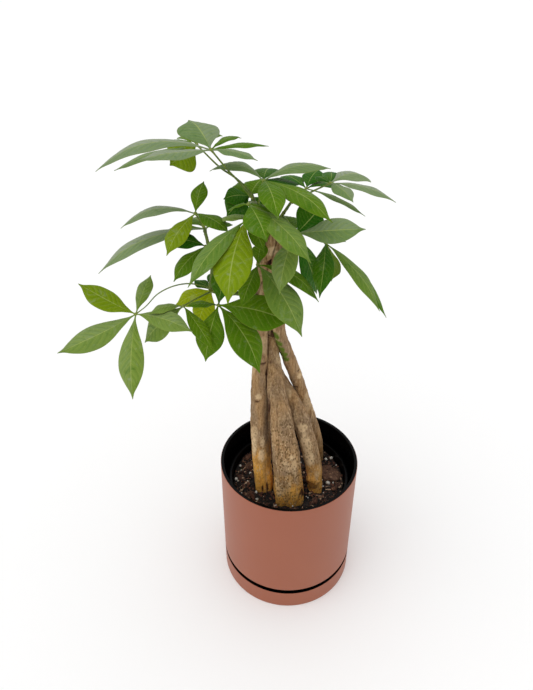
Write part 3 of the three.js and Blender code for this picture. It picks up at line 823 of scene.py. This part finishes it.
# Each leaf: its hub, where the leaflets meet; the stalk's points from there down to the shoot; the
# look of each leaflet; and for each leaflet its tip from the hub, its width, the rise of its midrib as
# a share of its length, and the turn of its blade in degrees.
leaves = {
    "a": ((-66, -25, 508), [(-54, -16, 489), (-47, -8, 478), (-41, -3, 468), (-36, 0, 461)], "gssmmg", [
        (-20, 42, 12, 33, 0.05), (-84, -15, -9, 20, 0.14, -8), (-45, -45, 9, 18, 0.01, -8),
        (21, 45, -2, 10, 0.06), (43, 20, -1, 13, 0.02), (35, -25, 1, 14, 0.05),
    ]),
    "b": ((-82, 25, 497), [(-63, 14, 482), (-50, 3, 477), (-42, 4, 469), (-36, 1, 462)], "mgymm", [
        (-38, 30, -8, 20, 0.06), (-62, -35, -7, 16, 0.02), (-21, -15, -12, 30, 0.08, -50),
        (11, 60, -9, 26, 0.08), (-12, 55, -10, 24, 0.08),
    ]),
    "c": ((-27, -15, 481), [(-29, -8, 470), (-32, 0, 453)], "ggdmmdd", [
        (-44, 25, 0, 22, 0.17), (54, 20, 4, 24, 0.1), (7, 45, -6, 24, 0.08), (52, -40, -15, 26, 0.08),
        (11, -53, -8, 20, 0.1), (34, 10, -21, 18, 0.08), (30, 12, -7, 20, 0.04),
    ]),
    "d": ((28, 10, 470), [(12, 8, 463), (-4, 5, 455)], "ssgdd", [
        (38, 25, -6, 31, 0.14), (53, -15, -9, 16, 0.08), (15, -35, -1, 16, 0.06), (-12, 12, 2, 12, 0.06),
        (3, 38, -3, 16, 0.06),
    ]),
    "w": ((11, 50, 451), [(0, 24, 453), (-8, 4, 450)], "gddd", [
        (52, -22, -16, 10, 0.04), (14, 34, 6, 20, 0.06), (-22, 38, -1, 22, 0.08), (42, 35, -12, 24, 0.08),
    ]),
    "p": ((-39, 25, 453), [(-36, 12, 455), (-31, 1, 451)], "ddmmd", [
        (-22, -10, 2, 20, 0.08, -30), (-20, -12, -13, 26, 0.08, -30), (11, 18, 10, 26, 0.05),
        (-11, 16, 7, 24, 0.08), (17, -9, -13, 24, 0.08, 20),
    ]),
    "q": ((-38, -46, 474), [(-38, -26, 468), (-34, 0, 457)], "mhmm", [
        (14, -29, -16, 24, 0.1), (46, -36, -30, 26, 0.06), (22, 6, -11, 14, 0.08), (-16, 10, -9, 12, 0.08),
    ]),
    "e": ((-40, -38, 458), [(-38, -22, 455), (-30, 0, 448)], "hyml", [
        (-43, -50, -30, 20, 0.06), (-13, -60, -39, 30, 0.08), (14, -16, -19, 14, 0.08),
        (-20, 18, -5, 18, 0.06),
    ]),
    "f": ((-1, -25, 441), [(-8, -12, 443), (-15, 1, 441)], "dmgdlmm", [
        (19, 2, 22, 27, 0.06, 60), (21, 0, 10, 16, 0.06, 50), (51, -25, 15, 21, 0.02, 50),
        (23, 16, -66, 22, 0.04, 80), (-14, -50, -27, 20, 0.08), (-17, 15, -9, 18, 0.08),
        (-10, 35, 2, 20, 0.06),
    ]),
    "g": ((26, 0, 421), [(8, 0, 430), (-18, 0, 437)], "hmmdd", [
        (48, -35, -45, 18, 0.08), (57, -25, -58, 18, 0.06), (9, 10, -42, 24, 0.08), (15, 28, -9, 22, 0.08),
        (-8, -53, -22, 18, 0.1),
    ]),
    "h": ((-32, -25, 413), [(-28, -14, 414), (-22, 0, 418)], "hmmm", [
        (36, -50, -38, 30, 0.1), (-13, -37, -17, 17, 0.08), (51, -20, -23, 20, 0.14), (4, 20, 12, 14, 0.06),
    ]),
    "i": ((-66, -30, 377), [(-66, -18, 374), (-65, -4, 376)], "mmmmd", [
        (63, -12, -10, 34, 0.06, 30), (37, -43, -39, 30, 0.08), (-11, -30, -38, 26, 0.08),
        (-26, -10, 6, 12, 0.06), (6, 25, 29, 22, 0.06),
    ]),
    "j": ((-96, -30, 376), [(-90, -22, 376), (-72, -5, 377.5)], "mll", [
        (27, -36, -20, 15, 0.08), (-29, -10, -1, 14, 0.08), (-39, 0, -38, 24, 0.06, -45),
    ]),
    "u": ((-74, 5, 372), [(-74, 0, 375), (-74, -5, 378)], "bbdd", [
        (-34, -10, -9, 20, 0.08, -20), (-13, -20, -25, 24, 0.08), (7, 30, 6, 20, 0.06),
        (-18, 12, 4, 14, 0.06),
    ]),
    "k": ((-138, -30, 368), [
        (-129, -27, 374), (-119, -22, 383), (-106, -17, 388), (-92, -12, 388), (-75, -5, 380),
    ], "yllll", [
        (-48, 10, 25, 22, -0.04, -20), (8, 42, 17, 14, 0.06), (-64, -30, -19, 24, -0.03, -25),
        (-1, -50, -54, 22, 0.06), (52, -32, 4, 18, 0.04, 30),
    ]),
    "l": ((-82, -15, 454), [(-80, -10, 447), (-77, -5, 438)], "msym", [
        (6, 20, 20, 14, 0.06), (-61, -5, -9, 20, 0.14), (-21, -35, -19, 20, 0.06), (28, -20, -6, 20, 0.08),
    ]),
    "m": ((-77, 5, 432), [(-76, 0, 432), (-76, -5, 431)], "smmm", [
        (-93, -20, -30, 18, 0.13, -15), (-51, 20, -18, 22, 0.08), (-20, 45, -10, 24, 0.08),
        (22, 30, -8, 20, 0.08),
    ]),
    "o": ((-77, 0, 418), [(-76, -2, 418), (-74, -5, 419)], "mmd", [
        (-27, -25, -20, 22, 0.1), (26, -20, -5, 20, 0.08), (-33, 5, 4, 20, 0.08, -15),
    ]),
}
# Each look paints light and shade over a leaflet's own green: dark is painted shade, light and yellow-lit are
# painted light, bright is painted backlight that glows, and the greyer looks carry a painted sheen.
looks = {  # towards yellow, light green and grey sheen
    "d": (0.0, 0.03, 0.0), "m": (0.08, 0.42, 0.0), "l": (0.25, 0.85, 0.24),  # dark, middle, light
    "y": (0.55, 0.8, 0.0), "b": (0.95, 1.0, 0.0),  # yellow-lit, bright
    "h": (0.1, 0.6, 0.16), "g": (0.0, 0.5, 0.42), "s": (0.0, 0.6, 0.7),  # greyer and greyer
}
bladeOutline = np.array([  # place along the midrib, and half-width as a share of the greatest
    (0, 0.05), (0.06, 0.07), (0.18, 0.31), (0.38, 0.82), (0.56, 1),
    (0.72, 0.87), (0.85, 0.46), (0.93, 0.15), (1, 0.015),
])
blade = {
    "stations": 52, "thickness": 0.42, "thinning": 0.55, "leastHalf": 0.5, "rib": 0.8, "ribWide": 0.5,
    "groove": 0.12, "fold": 0.1, "droop": 0.25, "quilt": 0.24, "wave": 0.35, "waves": 2.6, "waveShift": 0.37,
    "sway": 0.03, "tipFall": 0.05, "underShare": 0.995, "farSideSheen": (0.7, 1.3), "farSideLight": (-0.05, 0.09),
}
stalkForm = {
    "around": 14, "perKnot": 9, "radius": (0.62, 0.95), "thin": {"k": 0.7}, "swelling": 0.4,
    "footSwelling": 1.2, "reach": 3.5,
}
hubForm = {"rings": 9, "around": 14, "radius": 1.7, "flat": 0.75, "open": 0.12}
halfShares = np.array([0.03, 0.08, 0.17, 0.31, 0.47, 0.64, 0.8, 0.93, 1])
acrossShares = np.concatenate([-halfShares[::-1], halfShares])
leafRandom = random.Random(21)


def outlineShare(t):  # a smooth line through the outline's points
    places, shares = bladeOutline.T
    slopes = np.gradient(shares, places)
    i = np.clip(np.searchsorted(places, t, side="right") - 1, 0, len(places) - 2)
    span = places[i + 1] - places[i]
    return hermite((t - places[i]) / span, shares[i], span * slopes[i], span * slopes[i + 1], shares[i + 1])


def makeLeaflet(skin, hub, look, x, y, z, width, arch, turn=0):
    length = np.linalg.norm([x, y, z])
    along = np.array([x, y, z]) / length
    level = unit(np.array([along[1], -along[0], 0.0]))
    swing = math.radians(turn)
    side = level * math.cos(swing) + np.cross(along, level) * math.sin(swing)
    up = np.cross(side, along)
    seed = leafRandom.uniform(0, 50)
    sway = leafRandom.uniform(-1, 1) * blade["sway"] * length
    tipFall = leafRandom.uniform(0.2, 1) * blade["tipFall"] * length

    t = np.linspace(0, 1, blade["stations"])[:, None]
    half = np.maximum(width / 2 * outlineShare(t), blade["leastHalf"] * (1 - 0.7 * t))
    rise = 4 * arch * length * t * (1 - t) - tipFall * smoothBetween(t, 0.55, 1)**1.5
    mid = hub + along * length * t + up * rise + side * sway * np.sin(np.pi * t)
    normal = unit(up - along * 4 * arch * (1 - 2 * t))
    u = acrossShares[None]
    out = np.abs(u)
    opened = smoothBetween(t, 0.05, 0.2) * (1 - smoothBetween(t, 0.85, 1))
    phase = t * veins["count"] - out * veins["lean"] - out**2 * veins["curl"] + seed
    waves = np.sin(2 * np.pi * (t * blade["waves"] + seed + (u > 0) * blade["waveShift"])) * out**2.2
    lift = half * (blade["fold"] * out - blade["droop"] * out**2) + blade["wave"] * waves * opened
    lift -= blade["quilt"] * np.cos(2 * np.pi * phase) * out * (1 - out**3) * opened
    groove = np.exp(-(u * half / blade["ribWide"])**2)
    thick = blade["thickness"] * (1 - blade["thinning"] * out**4)
    def placed(share, upward):
        return mid[:, None] + side * (u * half * share)[..., None] + normal[:, None] * upward[..., None]
    top = placed(1, lift + thick / 2 - groove * blade["groove"])
    bottom = placed(blade["underShare"], lift - thick / 2 - blade["rib"] * (1 - 0.8 * t) * groove)

    count = len(acrossShares)
    finish = np.array([[0] * count + [1] * (count - 1) + [0]])
    coordinate = np.stack(np.broadcast_arrays(u, t, seed % 1), -1)
    coordinate = np.concatenate([coordinate, coordinate[:, ::-1]], 1)
    # The half of each leaflet towards the back is painted lighter and greyer: a painted sheen from the sky.
    sheenedHalf = smoothBetween(coordinate[..., 0] * (1 if side[1] > 0 else -1), -0.12, 0.12)
    yellow, light, grey = np.array(look) + [leafRandom.uniform(-0.06, most) for most in (0.06, 0.06, 0.01)]
    light, grey = light + mixed(blade["farSideLight"], sheenedHalf), grey * mixed(blade["farSideSheen"], sheenedHalf)
    tone = np.stack(np.broadcast_arrays(yellow, light, grey), -1)
    rows = np.concatenate([top, bottom[:, ::-1]], 1)
    skin.loft(rows * mm, finish, leafCoord=coordinate, leafTone=np.clip(tone, 0, 1))


def makeStalk(skin, points, thinness):
    route = routeAt(points, np.linspace(0, 1, (len(points) - 1) * stalkForm["perKnot"] + 1))
    length = lengthAlong(route)
    swelling = np.exp(-(length / stalkForm["reach"])**2)
    swelling += stalkForm["footSwelling"] * np.exp(-((length[-1] - length) / stalkForm["reach"])**2)
    radii = (mixed(stalkForm["radius"], length / length[-1]) + swelling * stalkForm["swelling"]) * thinness
    rows = tubeRows(route, radii, stalkForm["around"])
    skin.loft(rows * mm, 2, leafCoord=[0, 0, 0], leafTone=swelling[:, None, None] * [1, 0, 0])


def makeHub(skin, hub):
    a = np.linspace(hubForm["open"], math.pi - hubForm["open"], hubForm["rings"])[:, None]
    b = ringAngles(hubForm["around"])
    parts = np.sin(a) * np.cos(b), np.sin(a) * np.sin(b), np.cos(a) * hubForm["flat"]
    ball = np.stack(np.broadcast_arrays(*parts), -1) * hubForm["radius"]
    skin.loft((ball + hub) * mm, 2, leafCoord=[0, 0, 0], leafTone=[0.8, 0, 0])


def makeLeaf(letter):
    hub, stalk, lookLetters, leaflets = leaves[letter]
    skin = Skin("leafCoord", "leafTone")
    for row, look in zip(leaflets, lookLetters):
        makeLeaflet(skin, hub, looks[look], *row)
    makeStalk(skin, [hub, *stalk], stalkForm["thin"].get(letter, 1))
    makeHub(skin, hub)
    skin.piece("leaf" + letter.upper(), "leaf", leafFinishes, "leaf_" + letter)


print("leaves")
for leafLetter in leaves:
    makeLeaf(leafLetter)


soil = {
    "edgeZ": 130, "mound": 3, "relief": 1.6, "around": 180, "rings": 64, "lumps": 1.3, "fine": 0.6,
    "scatterRadius": 61, "overhang": 1.5, "chipLift": 0.2, "grainGrowth": 1.3,
}
bigChips = [  # the larger bark chips: x, y, turn, tilt and size
    (47, 6, 130, 6, (30, 21, 8)), (-44, 20, 35, -8, (14, 9, 5)), (-44, -25, 80, 10, (13, 8, 5)),
    (42, -38, 20, -12, (14, 8, 5)), (8, 46, 60, 9, (16, 9, 5)), (-22, -48, 155, 8, (12, 7, 4)),
]
# Loose bits: how many, their sizes, how far small ones outnumber large, width and height as shares of
# the length, and each lump's roughness, rings and sides.
scatter = {
    "chips": (150, (4.5, 11.0), 1.6, (0.5, 0.85), (0.3, 0.5), (0.34, 3, 6)),
    "crumbs": (1300, (1.3, 4.4), 2, (0.5, 0.9), (0.4, 0.8), (0.28, 3, 5)),
    "grains": (24, (1.3, 2.4), 1, (0.7, 0.95), (0.6, 0.85), (0.22, 3, 6)),
    "fibres": (34, (6.0, 15.0), 1),
}
plainGrains = [  # perlite that the mix shows plainly: x, y and size
    (-43, 6, 3.6), (-59, -2, 4.0), (-57, -5, 2.6), (-55, 18, 2.2), (-36, -22, 3.0), (-35, -31, 2.8),
    (-28, -29, 2.2), (45, 30, 3.2), (51, 30, 3.6), (44, -9, 4.4), (-15, -39, 2.6), (-50, 1, 2.0),
    (-46, -4, 1.8), (38, -14, 2.2), (50, -8, 2.6), (56, 20, 2.0),
]
soilRandom = random.Random(4)
trunkFeet = []
for route, radii in standing:
    atSoil = np.abs(route[:, 2] - bark["soilZ"]).argmin()
    trunkFeet.append((*route[atSoil, :2], radii[atSoil]))


def soilHeight(x, y):
    waves = np.sin(0.31 * x + 1.1) * np.cos(0.27 * y) + 0.7 * np.sin(0.53 * y - 0.42 * x)
    waves += 0.4 * np.cos(0.83 * x + 0.71 * y + 2)
    share = np.minimum(1, np.hypot(x, y) / grower["baseRadius"])
    return soil["edgeZ"] + soil["mound"] * (1 - share**2) + soil["relief"] / 2 * waves


def makeSoil():
    bottomZ = growerBaseZ + grower["floor"] + gap
    angles = ringAngles(soil["around"])
    circle = np.stack([np.cos(angles), np.sin(angles), angles * 0], -1)
    wallRadius = growerOuterAt(soil["edgeZ"] - soil["relief"]) - grower["wall"] - 0.4
    baseRadius = growerOuterAt(bottomZ) - grower["wall"] - 2 * gap
    rows = [circle + [0, 0, bottomZ], circle * baseRadius + [0, 0, bottomZ]]
    for i in range(soil["rings"]):
        flat = circle * wallRadius * (1 - i / soil["rings"])
        lumps = ripple(flat, 5.0, 3.0) * soil["lumps"] + ripple(flat, 1.7, 7.0) * soil["fine"]
        flat[:, 2] = soilHeight(flat[:, 0], flat[:, 1]) + lumps * min(1, i / 2)
        rows.append(flat)
    skin = Skin()
    skin.loft(np.array(rows) * mm)
    skin.piece("soilBed", "potting_mix", [soilFinish()], "potting_soil")


# A rough stone-like lump: a ball of faces, flattened, with its corners thrown about.
def roughLump(size, rough, rings, around):
    points = []
    for i in range(rings):
        a = math.pi * (i + 0.5) / rings
        for j in range(around):
            b = 2 * math.pi * (j + 0.5 * (i % 2)) / around
            throw = 1 + soilRandom.uniform(-rough, rough)
            level = math.sin(a) * throw
            points.append([level * math.cos(b), level * math.sin(b), math.cos(a) * throw])
    points += [[0, 0, 0.9], [0, 0, -0.9]]
    return np.array(points) * size / 2, ringFaces(rings, around)


def turnIn(first, second, degrees):  # a turn in the plane of two axes
    matrix, angle = np.eye(3), math.radians(degrees)
    matrix[first, first] = matrix[second, second] = math.cos(angle)
    matrix[second, first], matrix[first, second] = math.sin(angle), -math.sin(angle)
    return matrix


def laid(points, place, z, turn, tilt, roll=0):  # tilted, rolled, turned and set down
    turned = points @ (turnIn(0, 1, turn) @ turnIn(1, 2, roll) @ turnIn(2, 0, tilt)).T
    return (turned + [*place, z]) * mm


def freePlace(size):  # a place on the mix, clear of the trunks
    while True:
        radius = soil["scatterRadius"] * math.sqrt(soilRandom.random())
        angle = soilRandom.uniform(0, 2 * math.pi)
        x, y = radius * math.cos(angle), radius * math.sin(angle)
        if radius + size / 2 > soil["scatterRadius"] + soil["overhang"]:
            continue
        if all(math.hypot(x - footX, y - footY) > foot + size * 0.4 for footX, footY, foot in trunkFeet):
            return x, y


def strewn(kind):  # sizes and places for the loose bits of a kind
    count, sizes, lean = scatter[kind][:3]
    for bit in range(count):
        size = mixed(sizes, soilRandom.random()**lean)
        yield size, freePlace(size)


def looseLump(kind, size):  # one of a kind, and its height
    widths, heights, form = scatter[kind][3:]
    sides = (size, size * soilRandom.uniform(*widths), size * soilRandom.uniform(*heights))
    return *roughLump(sides, *form), sides[2]


def makeChips():
    skin = Skin("chipTint")
    for x, y, turn, tilt, size in bigChips:
        points, faces = roughLump(size, 0.09, 9, 24)
        points[:, 2] += ripple(points * [0.12, 1, 0.3], 2.0, 11.0) * 1.1
        z = soilHeight(x, y) + size[2] * soil["chipLift"]
        skin.body(laid(points, (x, y), z, turn, tilt), faces, chipTint=(0.6, 0.12, 0))
    for size, place in strewn("chips"):
        points, faces, height = looseLump("chips", size)
        z = soilHeight(*place) + height * soilRandom.uniform(0.15, 0.5)
        turn, tilt, roll = soilRandom.uniform(0, 360), soilRandom.gauss(0, 22), soilRandom.gauss(0, 22)
        # The most tinted chips get pale flecks, partly pale grain and partly painted highlight.
        tint = soilRandom.random()**1.3
        skin.body(laid(points, place, z, turn, tilt, roll), faces, chipTint=(tint, max(0, tint - 0.8), 0))
    skin.piece("barkChips", "potting_mix", [chipFinish], smooth=False)


def makeCrumbs():
    skin = Skin("chipTint")
    for size, place in strewn("crumbs"):
        points, faces, height = looseLump("crumbs", size)
        z = soilHeight(*place) + height * soilRandom.uniform(0.1, 0.5) + soilRandom.uniform(0, 0.8)
        turn, tilt, roll = (soilRandom.uniform(0, 360) for angle in range(3))
        # One crumb in ten is pale, partly a pale grain and partly a painted highlight.
        paleAndHighlight = 0.9 if soilRandom.random() < 0.1 else 0
        tint = soilRandom.random()
        skin.body(laid(points, place, z, turn, tilt, roll), faces, chipTint=(tint, paleAndHighlight, 0))
    for size, place in strewn("fibres"):  # thin splinters of wood
        points, faces = roughLump((size, size * 0.09 + 0.3, 0.6), 0.12, 4, 8)
        z = soilHeight(*place) + soilRandom.uniform(0.9, 1.8)
        turn, tilt = soilRandom.uniform(0, 360), soilRandom.gauss(0, 7)
        skin.body(laid(points, place, z, turn, tilt), faces, chipTint=(0.9, 0.8, 0))
    skin.piece("soilCrumbs", "potting_mix", [crumbsFinish], smooth=False)


def makePerlite():
    skin = Skin()
    for x, y, size in plainGrains + [(*place, size) for size, place in strewn("grains")]:
        size *= soil["grainGrowth"]
        points, faces, height = looseLump("grains", size)
        z = soilHeight(x, y) + height * 0.4 + soilRandom.uniform(0.2, 1.0)
        turn, tilt = soilRandom.uniform(0, 360), soilRandom.uniform(0, 90)
        skin.body(laid(points, (x, y), z, turn, tilt), faces)
    skin.piece("perliteGrains", "potting_mix", [perliteFinish()])


print("potting mix")
makeSoil()
makeChips()
makeCrumbs()
makePerlite()


boxes = {"cad": cadBox, "visual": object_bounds()}
{name: [list(corner) for corner in box] for name, box in boxes.items()}
